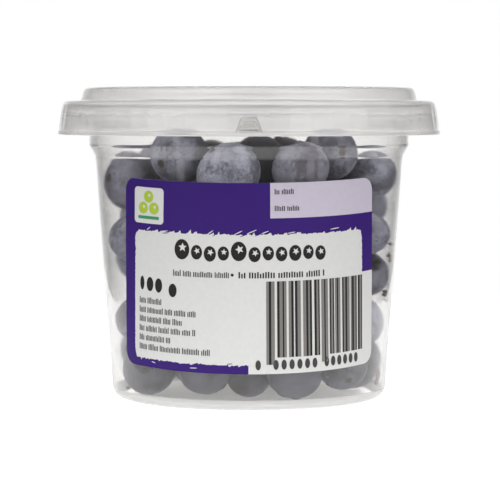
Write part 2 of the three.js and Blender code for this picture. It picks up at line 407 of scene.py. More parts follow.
def bumped(tree, height, strength, distance):
    """The normal of a surface under a fine relief."""
    values = {"Strength": strength, "Distance": distance, "Height": height}
    return add_node(tree, "ShaderNodeBump", values).outputs[0]


def principled(tree, values):
    """The main shader with these inputs."""
    return add_node(tree, "ShaderNodeBsdfPrincipled", values).outputs[0]


def surfaced(material, shader):
    """The material with this shader as its surface."""
    add_node(material.node_tree, "ShaderNodeOutputMaterial", {"Surface": shader})
    return material


def mixed(tree, mask, first, second, blend="MIX"):
    """Two colours mixed by a mask. Each is a colour or a link."""
    mix = tree.nodes.new("ShaderNodeMix")
    mix.data_type = "RGBA"
    mix.blend_type = blend
    for socket, value in ((mix.inputs[0], mask), (mix.inputs[6], first), (mix.inputs[7], second)):
        if isinstance(value, bpy.types.NodeSocket):
            tree.links.new(value, socket)
        elif isinstance(value, (int, float)):
            socket.default_value = value
        else:
            socket.default_value = (*value, 1)
    return mix.outputs[2]


def effect_group(name, defaults, results):
    """An empty shared effect: a place and these numbers go in, and these results come out."""
    group = bpy.data.node_groups.new(name, "ShaderNodeTree")
    sockets = group.interface
    sockets.new_socket("Place", in_out="INPUT", socket_type="NodeSocketVector")
    for label, default in defaults.items():
        socket = sockets.new_socket(label, in_out="INPUT", socket_type="NodeSocketFloat")
        socket.default_value = default
    for label in results:
        sockets.new_socket(label, in_out="OUTPUT", socket_type="NodeSocketFloat")
    given = group.nodes.new("NodeGroupInput").outputs
    return group, given, group.nodes.new("NodeGroupOutput").inputs


def relief_group():
    """Shared effect: fine uneven relief with a broad swell under it, as a height and a mask."""
    name = "Uneven Relief"
    if name in bpy.data.node_groups:
        return bpy.data.node_groups[name]
    defaults = {"Fine Scale": 900.0, "Broad Scale": 120.0, "Fine Share": 0.5}
    group, given, result = effect_group(name, defaults, ("Height", "Patches"))
    fine, broad = (
        add_node(
            group,
            "ShaderNodeTexNoise",
            {"Vector": given["Place"], "Scale": given[scale], "Detail": detail},
        ).outputs[0]
        for scale, detail in (("Fine Scale", 3.0), ("Broad Scale", 2.0))
    )
    shares = {"Factor": given["Fine Share"], "A": broad, "B": fine}
    height = add_node(group, "ShaderNodeMix", shares)
    patches = add_node(
        group,
        "ShaderNodeMapRange",
        {"Value": broad, "From Min": 0.36, "From Max": 0.64},
        interpolation_type="SMOOTHSTEP",
    )
    group.links.new(height.outputs[0], result["Height"])
    group.links.new(patches.outputs["Result"], result["Patches"])
    return group


def speckle_group():
    """Shared effect: sparse small specks, such as dust, lint and worn dots, as a mask."""
    name = "Small Specks"
    if name in bpy.data.node_groups:
        return bpy.data.node_groups[name]
    defaults = {"Scale": 500.0, "Size": 0.12}
    group, given, result = effect_group(name, defaults, ("Specks",))
    pattern = {"Vector": given["Place"], "Scale": given["Scale"]}
    cells = add_node(group, "ShaderNodeTexVoronoi", pattern).outputs["Distance"]
    near = add_node(group, "ShaderNodeMath", {0: cells, 1: given["Size"]}, operation="LESS_THAN")
    group.links.new(near.outputs[0], result["Specks"])
    return group


def relief(tree, place, fine, broad, fine_share):
    """The relief effect placed in a material with its own values."""
    values = {"Place": place, "Fine Scale": fine, "Broad Scale": broad, "Fine Share": fine_share}
    return add_node(tree, "ShaderNodeGroup", values, node_tree=relief_group()).outputs


def specks(tree, place, scale, size):
    """The speck effect placed in a material with its own values."""
    values = {"Place": place, "Scale": scale, "Size": size}
    return add_node(tree, "ShaderNodeGroup", values, node_tree=speckle_group()).outputs["Specks"]


# Fine scale, broad scale and share of the fine part, for each material's relief
PLASTIC_WAVES = (420.0, 70.0, 0.12)
PAPER_GRAIN = (2600.0, 900.0, 0.6)
BLOOM_COAT = (1500.0, 190.0, 0.35)
RUBBED_BLOOM = (700.0, 420.0, 0.5)
STALK_GRAIN = (2200.0, 500.0, 0.5)
TABLE_GRAIN = (40.0, 6.0, 0.3)
FAINTER = 0.985  # the darker patches of an even colour
MISSED_INK = (0.62, 0.61, 0.62)


def clear_plastic(name, settings, tint, haze, milk):
    """Moulded clear plastic: hazy, with soft waves in the wall, and partly milky."""
    material = new_material(name)
    tree = material.node_tree
    waves = relief(tree, object_place(tree), *PLASTIC_WAVES)
    plastic = principled(
        tree,
        {
            "Base Color": mixed(tree, waves["Patches"], scaled(tint, FAINTER), tint),
            "Roughness": between(tree, waves["Patches"], haze * 0.85, haze * 1.05),
            "IOR": 1.49,
            "Transmission Weight": 1 - milk,
            "Normal": bumped(tree, waves["Height"], settings.ripple, 0.4 * MM),
        },
    )
    passed = (*(c**0.5 for c in tint), 1)
    through = add_node(tree, "ShaderNodeBsdfTransparent", {"Color": passed}).outputs[0]
    shadow = add_node(tree, "ShaderNodeLightPath").outputs["Is Shadow Ray"]
    lit = add_node(tree, "ShaderNodeMixShader", {0: shadow, 1: plastic, 2: through})
    return surfaced(material, lit.outputs[0])


def printed_paper(name, ink, roughness=0.5):
    """Label paper under one ink, with a faint grain and tiny missed dots."""
    material = new_material(name)
    tree = material.node_tree
    place = object_place(tree)
    grain = relief(tree, place, *PAPER_GRAIN)
    missed = multiplied(tree, specks(tree, place, 900.0, 0.05), 0.12)
    base = mixed(tree, grain["Patches"], scaled(ink, FAINTER), scaled(ink, 1.01))
    paper = principled(
        tree,
        {
            "Base Color": mixed(tree, missed, base, MISSED_INK),
            "Roughness": between(tree, grain["Height"], roughness - 0.08, roughness + 0.1),
            "Specular IOR Level": 0.15,
            "Normal": bumped(tree, grain["Height"], 0.2, 0.03 * MM),
        },
    )
    return surfaced(material, paper)


def mark(tree, name):
    """A number stored on the points of the berries."""
    return add_node(tree, "ShaderNodeAttribute", attribute_name=name).outputs["Fac"]


DEEP_SHADE = 0.35  # painted shade: skin deep in the heap against skin at the wall
COAT_EDGES = (0.36, 0.58)  # heights of the coat's relief between which the bloom comes up
COAT_LEAST = 0.34  # bloom that is left where the coat is thinnest
RUBBED_LEAST = 0.74  # and where it is rubbed
DULLEST_TONE = 0.62  # bloom of the least bloomed berry
SKIN_GLOSS = (0.4, 0.66)  # roughness of the bare skin and of the bloom


def berry_skin(name, settings, shade=1.0):
    """Dark skin under a pale waxy bloom that is rubbed off in patches, a dry crown and a scar, with
    painted shade deep in the heap and on the lowest berries.
    """
    material = new_material(name)
    tree = material.node_tree
    place = object_place(tree)
    coat = relief(tree, place, *BLOOM_COAT)
    rubbed = relief(tree, place, *RUBBED_BLOOM)
    tone = mark(tree, "tone")
    kept = add_node(
        tree,
        "ShaderNodeMapRange",
        {
            "Value": coat["Height"],
            "From Min": COAT_EDGES[0],
            "From Max": COAT_EDGES[1],
            "To Min": COAT_LEAST,
        },
        interpolation_type="SMOOTHSTEP",
    ).outputs["Result"]
    amount = multiplied(tree, kept, between(tree, rubbed["Patches"], RUBBED_LEAST, 1.0))
    toned = multiplied(tree, amount, between(tree, tone, DULLEST_TONE, 1.0))
    redder, bare, waxy = (
        scaled(tint, shade) for tint in (settings.red_skin, settings.skin, settings.bloom)
    )
    coated = mixed(tree, toned, mixed(tree, tone, redder, bare), waxy)
    # Painted shade: the bloom gives way to darkened skin deep in the heap and on the lowest berries
    base = mixed(tree, mark(tree, "painted_shade"), coated, scaled(settings.skin, DEEP_SHADE))
    crowned = mixed(tree, mark(tree, "crown"), base, settings.crown)
    surface = principled(
        tree,
        {
            "Base Color": mixed(tree, mark(tree, "scar"), crowned, settings.scar),
            "Roughness": between(tree, toned, *SKIN_GLOSS),
            "Specular IOR Level": 0.3,
            "Normal": bumped(tree, rubbed["Height"], 0.5, 0.12 * MM),
        },
    )
    return surfaced(material, surface)


def dry_stalk(name):
    """Brown dried stem with darker flecks."""
    material = new_material(name)
    tree = material.node_tree
    place = object_place(tree)
    grain = relief(tree, place, *STALK_GRAIN)
    flecks = specks(tree, place, 1300.0, 0.25)
    base = mixed(tree, grain["Patches"], (0.07, 0.03, 0.025), (0.20, 0.11, 0.06))
    stalk_skin = principled(
        tree,
        {
            "Base Color": mixed(tree, flecks, base, (0.05, 0.02, 0.02)),
            "Roughness": between(tree, grain["Height"], 0.6, 0.9),
            "Normal": bumped(tree, grain["Height"], 0.8, 0.1 * MM),
        },
    )
    return surfaced(material, stalk_skin)


# Shape of the tub's wall, which the label, the berries and the scraps follow


def corner_point(tub, below):
    """Point of the bottom corner's arc where it faces this many radians under level."""
    r = tub.foot_radius + tub.corner * math.cos(below)
    return Vector((r, tub.corner - tub.corner * math.sin(below)))


def wall_slope(tub):
    """Angle of the straight wall from upright: it leaves the corner's arc on a tangent."""
    slope = 0.0
    for _ in range(20):
        low = corner_point(tub, slope)
        slope = math.atan2(tub.wall_top_radius - low.x, tub.wall_top - low.y)
    return slope


def outer_radius_at(tub, z):
    """Radius of the tapered wall's outside at a height."""
    slope = wall_slope(tub)
    low = corner_point(tub, slope)
    return low.x + (z - low.y) * math.tan(slope)


def tub_outline(tub):
    """The tub's section: recessed base, foot, tapered wall, shoulder, neck and rim."""
    top = tub.rim_top
    ring = tub.foot_radius - tub.foot_ring
    lip_inside = tub.rim_radius - 0.8 * MM
    floor = tub.base_recess + tub.wall
    across = tub.wall / math.cos(wall_slope(tub))
    rise = tub.wall / 2
    corners = [
        (0, tub.base_recess - 0.25 * MM, 0),
        (1.1 * MM, tub.base_recess - 0.25 * MM, 0.2 * MM),
        (1.5 * MM, tub.base_recess, 0.3 * MM),
        (ring - tub.base_recess, tub.base_recess, 0.8 * MM),
        (ring, 0, 0.5 * MM),
        (outer_radius_at(tub, 0), 0, tub.corner),
        (tub.wall_top_radius, tub.wall_top, 1.6 * MM),
        (tub.neck_radius, tub.neck_low, 1.6 * MM),
        (tub.neck_radius, tub.neck_high, 1.4 * MM),
        (tub.neck_radius + 1.9 * MM, top - 1.0 * MM, 1.0 * MM),
        (lip_inside, top - 0.8 * MM, 0.2 * MM),
        (lip_inside, top - tub.rim_lip, 0.12 * MM),
        (tub.rim_radius, top - tub.rim_lip, 0.2 * MM),
        (tub.rim_radius, top, 0.5 * MM),
        (tub.neck_radius + 1.6 * MM, top, 0.9 * MM),
        (tub.neck_radius - tub.wall, tub.neck_high + 1.0 * MM, 1.2 * MM),
        (tub.neck_radius - tub.wall, tub.neck_low + rise, 1.0 * MM),
        (tub.wall_top_radius - across, tub.wall_top + rise, 1.0 * MM),
        (outer_radius_at(tub, tub.wall) - across, tub.wall, tub.corner - tub.wall),
        (ring + 0.3 * MM, tub.wall, 0.5 * MM),
        (ring + 0.3 * MM - tub.base_recess, floor, 0.8 * MM),
        (0, floor, 0),
    ]
    return filleted(corners)


TUB_STEPS = 224
FULLY_FROSTED = 0.6  # share of the frosted height that is frosted in full


class PUNNET_OT_tub(bpy.types.Operator):
    """Turn the clear tub"""

    bl_idname = "punnet.tub"
    bl_label = "Tub"

    def execute(self, context):
        tub = context.scene.punnet_tub
        shell = turned_shell("tub_shell", tub_outline(tub), TUB_STEPS)
        half_tint = tuple((a + b) / 2 for a, b in zip(tub.tint, tub.foot_tint))
        for name, tint, haze, milk in (
            ("clear tub plastic", tub.tint, tub.haze, tub.milk),
            ("frosted tub edge", half_tint, tub.haze, tub.foot_milk / 2),
            ("frosted tub corner", tub.foot_tint, tub.haze, tub.foot_milk),
            ("frosted tub base", tub.tint, tub.base_haze, tub.base_milk),
        ):
            shell.data.materials.append(clear_plastic(name, tub, tint, haze, milk))
        clear, edge, corner, base = range(4)
        for face in shell.data.polygons:
            up = face.center.z / tub.frosted
            if up >= 1:
                face.material_index = clear
            elif math.hypot(face.center.x, face.center.y) < tub.foot_radius:
                face.material_index = base
            else:
                face.material_index = corner if up < FULLY_FROSTED else edge
        smooth_below(shell, 35)
        placed(shell, "tub")
        return {"FINISHED"}


def lid_outline(lid):
    """The lid's section: underside first, round the skirt's bead, and back over the top."""
    panel = lid.top - lid.panel_drop
    under = lid.ledge - lid.sheet
    inside = lid.skirt_top - lid.sheet
    lip_top = lid.skirt_end + 1.0 * MM
    bead = lid.skirt_end + 4.5 * MM
    edge = lid.skirt_low + lid.lip
    corners = [
        (0, panel - lid.sheet, 0),
        (lid.panel_radius + 0.3 * MM, panel - lid.sheet, 0.7 * MM),
        (lid.panel_radius + 1.3 * MM, lid.top - lid.sheet, 0.6 * MM),
        (lid.raised_top - 0.5 * MM, lid.top - lid.sheet, 0.9 * MM),
        (lid.raised_low - lid.sheet, under, 0.5 * MM),
        (inside, under, lid.ledge_corner - 0.5 * MM),
        (inside, bead + 0.45 * MM, 0.15 * MM),
        (inside - 0.95 * MM, bead, 0.2 * MM),
        (inside + 0.2 * MM, bead - 0.45 * MM, 0.15 * MM),
        (lid.skirt_low - lid.sheet, lip_top, 0),
        (lid.skirt_low - lid.sheet, lid.skirt_end, 0.2 * MM),
        (edge, lid.skirt_end, 0.3 * MM),
        (edge, lip_top, 0.25 * MM),
        (lid.skirt_low, lip_top, 0.1 * MM),
        (lid.skirt_top, lid.ledge, lid.ledge_corner),
        (lid.raised_low, lid.ledge, 0.6 * MM),
        (lid.raised_top, lid.top, 1.3 * MM),
        (lid.panel_radius + 1.0 * MM, lid.top, 0.8 * MM),
        (lid.panel_radius, panel, 0.7 * MM),
        (2.2 * MM, panel, 0.3 * MM),
        (1.6 * MM, panel - 0.2 * MM, 0.2 * MM),
        (0, panel - 0.2 * MM, 0),
    ]
    return filleted(corners, longest=1.2 * MM)


LID_STEPS = 480
TAB_EDGE = 0.14 * MM  # softness of the finger mark's outline
MARK_CUTS = 5
MARK_FLOOR = 0.35  # height of the finger mark's field against its raised outline
RIB_ENDS = (1.5 * MM, 1.3 * MM)  # plain skirt under the grip ribs and over them
RIB_FADE = 0.8 * MM


def beyond_mark(lid, out, turn, z):
    """Distance outside the finger mark's outline, or inside it when negative."""
    across = abs(turn) * out
    along = (z - lid.skirt_end - lid.tab_from) / lid.tab_height
    half = (lid.tab_low + (lid.tab_top - lid.tab_low) * along) / 2
    return max(across - half, -along * lid.tab_height, (along - 1) * lid.tab_height)


def lid_shape(lid, out, turn, z):
    """How far the skirt's outside stands out at a turn from the front and a height."""
    low = lid.skirt_end + RIB_ENDS[0]
    high = lid.ledge - RIB_ENDS[1]
    band = smoothstep(low, low + RIB_FADE, z) * (1 - smoothstep(high - RIB_FADE, high, z))
    ridge = (0.5 + 0.5 * math.cos(lid.flutes * turn)) ** 2
    beyond = beyond_mark(lid, out, turn, z)
    raised = 1 - smoothstep(-TAB_EDGE, TAB_EDGE, beyond)
    frame_line = math.exp(-(((beyond + 2 * TAB_EDGE) / (1.5 * TAB_EDGE)) ** 2))
    clear = smoothstep(2 * TAB_EDGE, 6 * TAB_EDGE, beyond)
    tab = lid.tab_proud * raised * (MARK_FLOOR + (1 - MARK_FLOOR) * frame_line)
    return tab + lid.flute_depth * ridge * band * clear


def refine_mark(shell, lid):
    """Divide the outside of the skirt round the finger mark, so that it can be raised crisply."""
    low = lid.skirt_end + lid.tab_from - 3 * TAB_EDGE
    high = lid.skirt_end + lid.tab_from + lid.tab_height + 3 * TAB_EDGE
    select_only(shell)
    bpy.ops.object.mode_set(mode="EDIT")
    bpy.ops.mesh.select_all(action="DESELECT")
    work = bmesh.from_edit_mesh(shell.data)
    for face in work.faces:
        middle = face.calc_center_median()
        front = middle.y < 0 and abs(middle.x) < lid.tab_low / 2 + 4 * TAB_EDGE
        if front and low < middle.z < high and face.normal.y < -0.7:
            face.select = True
    bmesh.update_edit_mesh(shell.data)
    bpy.ops.mesh.subdivide(number_cuts=MARK_CUTS)
    bpy.ops.object.mode_set(mode="OBJECT")


class PUNNET_OT_lid(bpy.types.Operator):
    """Turn the lid, then raise its grip ribs and its finger mark"""

    bl_idname = "punnet.lid"
    bl_label = "Lid"

    def execute(self, context):
        lid = context.scene.punnet_lid
        shell = turned_shell("lid_shell", lid_outline(lid), LID_STEPS)
        refine_mark(shell, lid)
        lean = (lid.skirt_low - lid.skirt_top) / (lid.ledge - lid.skirt_end)
        for vertex in shell.data.vertices:
            x, y, z = vertex.co
            out = math.hypot(x, y)
            face = lid.skirt_low - lean * (z - lid.skirt_end)
            if z > lid.ledge or out < face - 0.05 * MM:
                continue
            turn = math.atan2(x, -y)
            rise = lid_shape(lid, out, turn, z)
            vertex.co = (x * (1 + rise / out), y * (1 + rise / out), z)
        milky = clear_plastic("clear lid plastic", lid, lid.tint, lid.haze, lid.milk)
        clearer = clear_plastic("clear finger mark", lid, lid.tint, lid.haze, lid.milk / 9)
        for material in (milky, clearer):
            shell.data.materials.append(material)
        for face in shell.data.polygons:
            x, y, z = face.center
            inside = beyond_mark(lid, math.hypot(x, y), math.atan2(x, -y), z) < -2 * TAB_EDGE
            face.material_index = 1 if inside else 0
        smooth_below(shell, 35)
        placed(shell, "lid")
        return {"FINISHED"}


# Label

LABEL_SPREAD = 0.0012  # share by which each millimetre lower is wider, so its ends stand upright


def wrap(tub, label, u, v, lift):
    """Point of the flat label (right, up, off the wall) once it is rolled onto the wall."""
    u *= 1 - LABEL_SPREAD * v / MM
    slope = wall_slope(tub)
    sine = math.sin(slope)
    middle_run = outer_radius_at(tub, label.middle) / sine
    run = math.hypot(u, middle_run + v)
    turn = math.atan2(u, middle_run + v) / sine
    r = run * sine + lift
    z = label.middle + (run - middle_run) * math.cos(slope)
    return Vector((r * math.sin(turn), -r * math.cos(turn), z))


def wrap_piece(piece, context):
    """Roll a flat mesh onto the tub's wall."""
    tub = context.scene.punnet_tub
    label = context.scene.punnet_label
    for vertex in piece.data.vertices:
        vertex.co = wrap(tub, label, *vertex.co)


LABEL_COLUMNS = 96
LABEL_ROWS = 10


class PUNNET_OT_label(bpy.types.Operator):
    """Cut the label's paper and roll it onto the tub"""

    bl_idname = "punnet.label"
    bl_label = "Label"

    def execute(self, context):
        label = context.scene.punnet_label
        deselect_all()
        columns, rows = LABEL_COLUMNS, LABEL_ROWS
        bpy.ops.mesh.primitive_grid_add(x_subdivisions=columns, y_subdivisions=rows, size=2)
        sheet = named(bpy.context.active_object, "label_sheet")
        straight = label.width / 2 - label.corner
        for vertex in sheet.data.vertices:
            t = vertex.co.x
            across = label.width / 2 * (1.5 * t - 0.5 * t**3)
            past = max(0.0, abs(across) - straight)
            tall = label.height / 2 - label.corner + math.sqrt(max(0, label.corner**2 - past**2))
            vertex.co = (across, vertex.co.y * tall, label.gap)
        sheet.data.materials.append(printed_paper("purple print", label.purple))
        sheet.data.materials.append(printed_paper("label paper", label.white))
        apply_modifier(sheet, "SOLIDIFY", thickness=label.paper, offset=1.0, material_offset_rim=1)
        wrap_piece(sheet, context)
        smooth_below(sheet, 30)
        placed(sheet, "label")
        return {"FINISHED"}


INK_LAYER = 0.03 * MM  # each printed layer lies this far over the one under it
COLUMN = 1.0 * MM  # widest flat strip of print once it is rolled


class FlatPrint:
    """Flat shapes laid on the unrolled label, sizes and places in millimetres from its middle."""

    def __init__(self, label):
        self.label = label
        self.shapes = []

    def keep(self, shape, ink, layer):
        """Puts a new shape on its layer in its ink."""
        select_only(shape)
        bpy.ops.object.transform_apply(location=True, rotation=True, scale=True)
        top = self.label.gap + self.label.paper + INK_LAYER * (layer - 0.7)
        for vertex in shape.data.vertices:
            vertex.co.z = top
        shape.data.materials.append(ink)
        self.shapes.append(shape)
        return shape

    def bar(self, ink, layer, left, right, low, high, rounding=0, corners=None):
        """A rectangle, with all its corners rounded, or only those named by (right, top)."""
        deselect_all()
        middle = ((left + right) / 2 * MM, (low + high) / 2 * MM, 0)
        bpy.ops.mesh.primitive_plane_add(size=1, location=middle)
        shape = bpy.context.active_object
        shape.scale = ((right - left) * MM, (high - low) * MM, 1)
        bpy.ops.object.transform_apply(location=False, rotation=False, scale=True)
        if rounding:
            bpy.ops.object.mode_set(mode="EDIT")
            work = bmesh.from_edit_mesh(shape.data)
            for vertex in work.verts:
                side = (vertex.co.x > 0, vertex.co.y > 0)
                vertex.select = corners is None or side in corners
            work.select_flush(False)
            bmesh.update_edit_mesh(shape.data)
            width = rounding * MM
            bpy.ops.mesh.bevel(affect="VERTICES", offset=width, segments=6, clamp_overlap=True)
            bpy.ops.object.mode_set(mode="OBJECT")
        return self.keep(shape, ink, layer)

    def spot(self, ink, layer, u, v, width, height, turn=0, points=20):
        """A filled ellipse."""
        deselect_all()
        bpy.ops.mesh.primitive_circle_add(
            vertices=points,
            radius=0.5,
            fill_type="NGON",
            location=(u * MM, v * MM, 0),
            rotation=(0, 0, turn),
        )
        shape = bpy.context.active_object
        shape.scale = (width * MM, height * MM, 1)
        return self.keep(shape, ink, layer)

    def star(self, ink, layer, u, v, size, turn):
        """A five-pointed star, for the crown of a berry."""
        deselect_all()
        bpy.ops.mesh.primitive_circle_add(
            vertices=10, radius=0.5, fill_type="TRIFAN", location=(u * MM, v * MM, 0)
        )
        shape = bpy.context.active_object
        shape.rotation_euler.z = turn
        for vertex in shape.data.vertices:
            step = round((math.atan2(vertex.co.y, vertex.co.x) - math.pi / 2) / (math.pi / 5))
            if step % 2:
                vertex.co *= 0.45
        shape.scale = (size * MM, size * MM, 1)
        return self.keep(shape, ink, layer)

    def ticks(self, ink, layer, left, right, middle, height, draw, wide=0.24):
        """A line of small upright ticks in groups. One tick is modelled, then copied."""
        first = self.bar(ink, layer, left, left + wide, middle - height / 2, middle + height / 2)
        at = left
        group = 3 + int(4 * draw())
        while at < right:
            at += 1.75 * wide
            group -= 1
            if group == 0:
                group = 5 + int(9 * draw())
                at += 1.6 * wide
            tick = first.data.copy()
            lower = Vector((0, (middle - height / 2) * MM, 0))
            shorter = Matrix.Diagonal((1, 0.7 + 0.3 * draw(), 1, 1))
            tick.transform(
                Matrix.Translation(lower + Vector(((at - left) * MM, 0, 0)))
                @ shorter
                @ Matrix.Translation(-lower)
            )
            shape = bpy.data.objects.new("tick", tick)
            bpy.context.scene.collection.objects.link(shape)
            self.shapes.append(shape)

    def brushed_panel(self, ink, layer, left, right, low, high, rounding):
        """A field with dry-brushed, uneven edges."""
        deselect_all()
        bpy.ops.mesh.primitive_grid_add(x_subdivisions=320, y_subdivisions=60, size=2)
        shape = bpy.context.active_object
        wide = (right - left) / 2
        tall = (high - low) / 2

        def brushed(along, seed, strokes):
            wave = noise.noise(Vector((along * 0.3, seed, 0.0)))
            fine = noise.noise(Vector((along * 2.3, seed, 5.0)))
            busy = max(0.0, noise.noise(Vector((along * 0.17, seed, 12.0))) + 0.2)
            stroke = (along * 0.45 + 0.7 * noise.noise(Vector((along * 0.3, seed, 9.0)))) % 1.0
            return 0.22 * wave + 0.28 * fine + strokes * busy * stroke**3

        for vertex in shape.data.vertices:
            s, t = vertex.co.x, vertex.co.y
            past = max(0.0, abs(s) * wide - (wide - rounding))
            trim = rounding - math.sqrt(max(0.0, rounding**2 - past**2))
            u = (left + right) / 2 + s * wide
            v = (low + high) / 2 + t * (tall - trim)
            if t > 0:
                v += brushed(u, 3.0, 2.2) * t**12
            else:
                v -= brushed(-u, 8.0, 0.9) * t**12
            u += brushed(v, 14.0 if s < 0 else 21.0, 0.0) * abs(s) ** 40 * 0.7
            vertex.co = (u * MM, v * MM, 0)
        return self.keep(shape, ink, layer)

    def finished(self, name):
        """All shapes joined, cut into narrow strips and given the thickness of ink."""
        print_piece = joined(self.shapes, name)
        bpy.ops.object.mode_set(mode="EDIT")
        cuts = int(self.label.width / 2 / COLUMN)
        for i in range(-cuts, cuts + 1):
            bpy.ops.mesh.select_all(action="SELECT")
            bpy.ops.mesh.bisect(plane_co=(i * COLUMN, 0, 0), plane_no=(1, 0, 0))
        bpy.ops.object.mode_set(mode="OBJECT")
        apply_modifier(print_piece, "SOLIDIFY", thickness=INK_LAYER * 0.6, offset=1.0)
        return print_piece


def lay_out(flat, label):
    """The label's print: brushed white panel, corner tile, lilac box, marks and stripes."""
    purple = bpy.data.materials["purple print"]
    white = printed_paper("white print", label.white)
    lilac = printed_paper("lilac print", label.lilac)
    lime = printed_paper("lime print", label.lime)
    green = printed_paper("green print", label.green)
    black = printed_paper("black print", label.black)
    grey = printed_paper("grey print", label.grey)
    soft = printed_paper("soft black print", label.soft)
    draw = seeded(77)
    half_width = label.width / MM / 2
    half_height = label.height / MM / 2
    corner = label.corner / MM

    # White: the plain field under the stripes, the brushed panel, and slivers off the brush
    flat.bar(white, 1, -0.1, half_width, -half_height, 0.1, corner, corners=[(True, False)])
    flat.brushed_panel(white, 2, -28.8, 28.6, -19.5, 9.9, 1.9)
    for u, v, long, turn in (
        (-24.6, 10.6, 1.3, 0.6),
        (-20.2, 10.3, 2.4, 0.12),
        (-8.8, 10.5, 2.0, 0.6),
        (-2.4, 10.6, 2.2, 0.45),
        (0.6, 10.8, 2.6, 0.4),
        (3.4, 10.6, 2.4, 0.35),
        (9.6, 10.5, 2.0, 0.15),
        (20.4, 10.9, 2.6, 0.1),
        (-12.4, -20.3, 1.8, 0.05),
        (-22.8, -20.0, 1.2, -0.2),
    ):
        flat.spot(white, 2, u, v - 0.2, long, 0.22, turn, points=8)
    for u, v, long, turn in (
        (-19.8, 9.5, 1.7, 0.1),
        (-7.6, 9.7, 1.5, 0.6),
        (-1.2, 9.6, 1.8, 0.4),
        (2.2, 9.8, 2.0, 0.4),
        (21.0, 10.0, 1.5, 0.1),
        (-4.2, -19.4, 1.3, 0.1),
    ):
        flat.spot(purple, 3, u, v + 0.2, long, 0.2, turn, points=8)

    # Corner tile with round fruit marks
    flat.bar(white, 1, -29.1, -20.4, 11.5, 19.7, rounding=0.9)
    for u, v in ((-26.3, 15.0), (-23.1, 15.0), (-24.7, 17.6)):
        flat.spot(lime, 2, u, v, 2.8, 2.7)
        flat.star(white, 3, u + 0.25, v + 0.3, 1.1, 0.3)
    flat.bar(green, 2, -27.9, -21.6, 12.5, 13.2, rounding=0.3)

    # Lilac box with two fine lines
    flat.bar(lilac, 1, 4.8, half_width, 13.6, half_height, corner, corners=[(True, True)])
    flat.ticks(soft, 2, 5.8, 9.8, 19.55, 1.25, draw)
    flat.ticks(soft, 2, 5.8, 11.2, 15.8, 1.2, draw)

    # Bold row of berries drawn as discs with a pale star for the crown
    sizes = (4.6, 3.3, 3.5, 3.2, 4.4, 3.4, 3.2, 3.3, 3.6, 3.2, 3.3)
    at = -17.3
    for index, size in enumerate(sizes):
        wide = size * 0.8
        v = 4.0 + size / 2 + 0.2 * math.sin(2.3 * index)
        flat.spot(black, 3, at + wide / 2, v, wide, size)
        flat.star(white, 4, at + wide * 0.55, v + size * 0.1, size * 0.46, 0.4 * index)
        at += wide + 0.4

    # Fine line, half plain and half bold
    flat.ticks(soft, 3, -17.6, -5.0, 0.9, 1.4, draw)
    flat.spot(black, 3, -3.7, 0.9, 0.7, 0.7, points=10)
    flat.ticks(black, 3, -2.3, 17.0, 0.9, 1.4, draw, 0.34)

    # Bold short row and the small block under it
    for u, v, wide, tall in (
        (-26.4, -2.2, 1.3, 3.2),
        (-24.0, -2.3, 2.0, 3.3),
        (-21.5, -2.4, 2.0, 3.3),
        (-17.7, -3.2, 2.1, 3.1),
    ):
        flat.spot(black, 3, u, v, wide, tall, points=16)
    for row, right in enumerate((-21.0, -12.6, -15.9, -12.6, -18.8, -8.9)):
        flat.ticks(soft, 3, -27.2, right, -6.1 - 2.14 * row, 1.45, draw)

    # Upright stripes side by side in dark and worn ink, with taller ones at the ends
    at = 3.8
    group = 0
    while at < 28.8:
        tall = group == 0 or abs(at - 16.5) < 0.7 or at > 27.6
        low = -19.4 if tall else -17.8
        for run in range(2 + int(draw() * 3)):
            dark = (group + run) % 2 == 1
            wide = 0.3 + 0.32 * draw() if dark else 0.3 + 0.5 * draw()
            end = min(at + wide, 29.0)
            if end > at:
                flat.bar(black if dark else grey, 3, at, end, low, -0.55)
            at = end
        at += 0.25 + 0.35 * draw()
        group += 1
    for u in (2.0, 5.9, 7.7, 9.5, 11.3, 13.1, 14.9, 17.9, 19.6, 21.3, 23.0, 24.7, 26.4):
        flat.spot(soft, 3, u, -19.45, 1.2, 2.3, points=14)


class PUNNET_OT_print(bpy.types.Operator):
    """Print the label"""

    bl_idname = "punnet.print"
    bl_label = "Print"

    def execute(self, context):
        label = context.scene.punnet_label
        flat = FlatPrint(label)
        lay_out(flat, label)
        print_piece = flat.finished("label_print")
        wrap_piece(print_piece, context)
        smooth_below(print_piece, 30)
        placed(print_piece)
        return {"FINISHED"}


# Berries

# Berries that press against the clear wall round the label: degrees round from the front, height
# of the middle, diameter and how far off the wall, in millimetres.
WINDOW_BERRIES = (
    (-80, 51, 13.4, 0),
    (-37, 57, 13.8, 3.6),
    (-11.5, 53.6, 15, 0),
    (24, 54.5, 13.4, 0),
    (50.5, 57.7, 12.8, 4.9),
    (80, 52.5, 11.8, 0),
    (6.5, 55.4, 13.2, 13.6),
    (-112, 43.6, 11.2, 0),
    (-71, 37.3, 11.2, 0),
    (-106, 31.4, 11.4, 0),
    (-73, 19.2, 10.6, 0),
    (-102, 10.8, 11.6, 0),
    (104, 45, 10.4, 0),
    (71, 38.9, 10.4, 0),
    (84, 29, 11, 0),
    (77, 17.1, 12.2, 0),
    (-64, 8.6, 12.8, 0),
    (-22.5, 9.5, 12.8, 0),
    (0, 6.9, 10.9, 9.6),
    (22.5, 8, 13.2, 0),
    (56, 9, 12, 0),
)
FALL = 0.25  # how far a loose berry drops in one round of settling
FALLING_ROUNDS = 440
EASING_ROUNDS = 120
HELD_FALLING = 0.001  # how freely a window berry gives way while the others fall
HELD_EASING = 0.02  # and afterwards
HEAP_TOP = 64.5
HEAP_DROP = 10  # the heap is this much lower at the sides
HEAP_HALF = 36


def millionths(value):
    """Rounded, so that the berries settle alike on every machine."""
    return math.floor(value * 1e6 + 0.5) / 1e6


class Berry:
    """One berry of the heap, in millimetres."""

    __slots__ = ("x", "y", "z", "r", "free", "axis")

    def __init__(self, x, y, z, r, free):
        self.x, self.y, self.z, self.r, self.free = x, y, z, r, free
        self.axis = None


